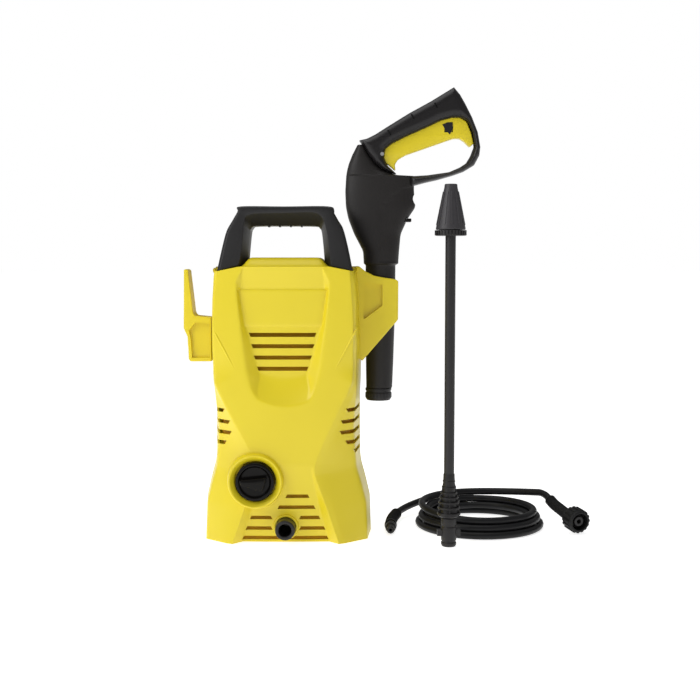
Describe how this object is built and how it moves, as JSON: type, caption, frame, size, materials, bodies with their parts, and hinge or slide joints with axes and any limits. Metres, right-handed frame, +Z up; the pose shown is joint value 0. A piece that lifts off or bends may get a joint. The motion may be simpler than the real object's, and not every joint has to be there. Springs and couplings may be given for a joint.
{
  "type": "pressure washer",
  "caption": "Compact upright electric pressure washer with carry handle, rotary switch, side holders, trigger gun, rotary-nozzle lance and a coiled high-pressure hose.",
  "frame": {"origin": "on the floor, under the middle of the box around the washer, gun and lance (the hose not counted)", "axes": "+Z up, -Y is the front with the switch and outlet, +X towards the gun holder"},
  "size_m": [0.559, 0.2507, 0.6118],
  "materials": {
    "yellow_casing": "satin, fine moulded grain",
    "black_plastic": "fine matt moulded grain",
    "grip_plastic": "semi-gloss soft touch",
    "rubber": "matt rubber",
    "steel": "ground",
    "alloy": "die cast",
    "iron": "laminated, oiled",
    "brass": "turned",
    "copper": "copper",
    "grey_plastic": "matt moulded",
    "white_plastic": "matt moulded"
  },
  "bodies": {
    "washer": {"front_shell": "yellow_casing", "rear_shell": "yellow_casing", "casing_screw_1": "steel", "casing_screw_2": "steel", "casing_screw_3": "steel", "casing_screw_4": "steel", "carry_handle": "black_plastic", "switch_box": "grey_plastic", "pressure_outlet": "black_plastic", "water_inlet": "black_plastic", "inlet_filter": "white_plastic", "inlet_coupling": "grey_plastic", "cord_gland": "rubber", "pump_head": "alloy", "cylinder_block": "alloy", "gear_case": "alloy", "lower_bearing": "steel", "upper_bearing": "steel", "motor_stator": "iron", "brush_1": "iron", "brush_2": "iron", "motor_cap": "grey_plastic", "capacitor": "white_plastic", "pressure_switch": "grey_plastic", "side_hook": "yellow_casing", "gun_holster": "yellow_casing", "hose_coil": "rubber", "hose_lead_left": "rubber", "hose_lead_right": "rubber", "left_bend_sleeve": "rubber", "right_bend_sleeve": "rubber", "hose_nipple": "black_plastic", "hose_plug": "black_plastic"},
    "knob": {"switch_knob": "black_plastic"},
    "gun": {"gun_shell_left": "black_plastic", "gun_shell_right": "black_plastic", "gun_grip": "grip_plastic", "trigger_pin": "steel", "valve_block": "brass", "bayonet_socket": "black_plastic"},
    "trigger": {"gun_trigger": "yellow_casing"},
    "lock": {"trigger_lock": "grip_plastic"},
    "clip": {"hose_clip": "black_plastic"},
    "lance": {"lance_tube": "grey_plastic", "lance_bayonet": "grey_plastic", "lance_bell": "black_plastic", "nozzle_ring": "black_plastic", "nozzle_housing": "black_plastic"},
    "rotor": {"nozzle_rotor": "brass"},
    "nut": {"union_nut": "rubber"},
    "swash": {"swash_gear": "steel"},
    "armature": {"armature": "copper", "commutator": "copper", "motor_pinion": "steel", "cooling_fan": "grey_plastic"},
    "piston_a": {"piston_1": "steel"},
    "piston_b": {"piston_2": "steel"},
    "piston_c": {"piston_3": "steel"}
  },
  "joints": [
    {"name": "switch_turn", "type": "hinge", "parent": "washer", "child": "knob", "pos_m": [-0.1016, -0.09421, 0.086], "axis": [0, -1, 0], "range_deg": [0, 90]},
    {"name": "gun_lift", "type": "slide", "parent": "washer", "child": "gun", "axis": [0, 0, 1], "range_m": [0, 0.25]},
    {"name": "trigger_pull", "type": "hinge", "parent": "gun", "child": "trigger", "pos_m": [0.0677, -0.01621, 0.522], "axis": [0, -1, 0], "range_deg": [0, 6.5], "stiffness_Nm_per_rad": 0.5, "springref_deg": -11.46},
    {"name": "lock_slide", "type": "slide", "parent": "trigger", "child": "lock", "axis": [1, 0, 0], "range_m": [0, 0.004]},
    {"name": "clip_slide", "type": "slide", "parent": "gun", "child": "clip", "axis": [1, 0, 0], "range_m": [0, 0.006]},
    {"name": "lance_lift", "type": "slide", "parent": "washer", "child": "lance", "axis": [0, 0, 1], "range_m": [0, 0.25]},
    {"name": "nozzle_spin", "type": "hinge", "parent": "lance", "child": "rotor", "pos_m": [0.1552, -0.09921, 0.43], "axis": [0, 0, 1], "continuous": true},
    {"name": "nut_turn", "type": "hinge", "parent": "washer", "child": "nut", "pos_m": [0.3342, -0.01821, 0.0203], "axis": [0.3064, -0.9472, -0.0947], "continuous": true},
    {"name": "motor_spin", "type": "hinge", "parent": "washer", "child": "armature", "pos_m": [-0.0618, 0.01329, 0.15], "axis": [0, 0, 1], "continuous": true},
    {"name": "swash_spin", "type": "hinge", "parent": "washer", "child": "swash", "pos_m": [-0.0618, -0.02421, 0.11], "axis": [0, 0, 1], "continuous": true},
    {"name": "piston_a_stroke", "type": "slide", "parent": "washer", "child": "piston_a", "axis": [0, 0, 1], "range_m": [-0.0028, 0.0028], "stiffness_N_per_m": 2000, "springref_m": 0.0003},
    {"name": "piston_b_stroke", "type": "slide", "parent": "washer", "child": "piston_b", "axis": [0, 0, 1], "range_m": [-0.0028, 0.0028], "stiffness_N_per_m": 2000, "springref_m": 0.0003},
    {"name": "piston_c_stroke", "type": "slide", "parent": "washer", "child": "piston_c", "axis": [0, 0, 1], "range_m": [-0.0028, 0.0028], "stiffness_N_per_m": 2000, "springref_m": 0.0003}
  ],
  "couplings": [
    {"joint": "swash_spin", "follows": "motor_spin", "ratio": -0.33333}
  ]
}
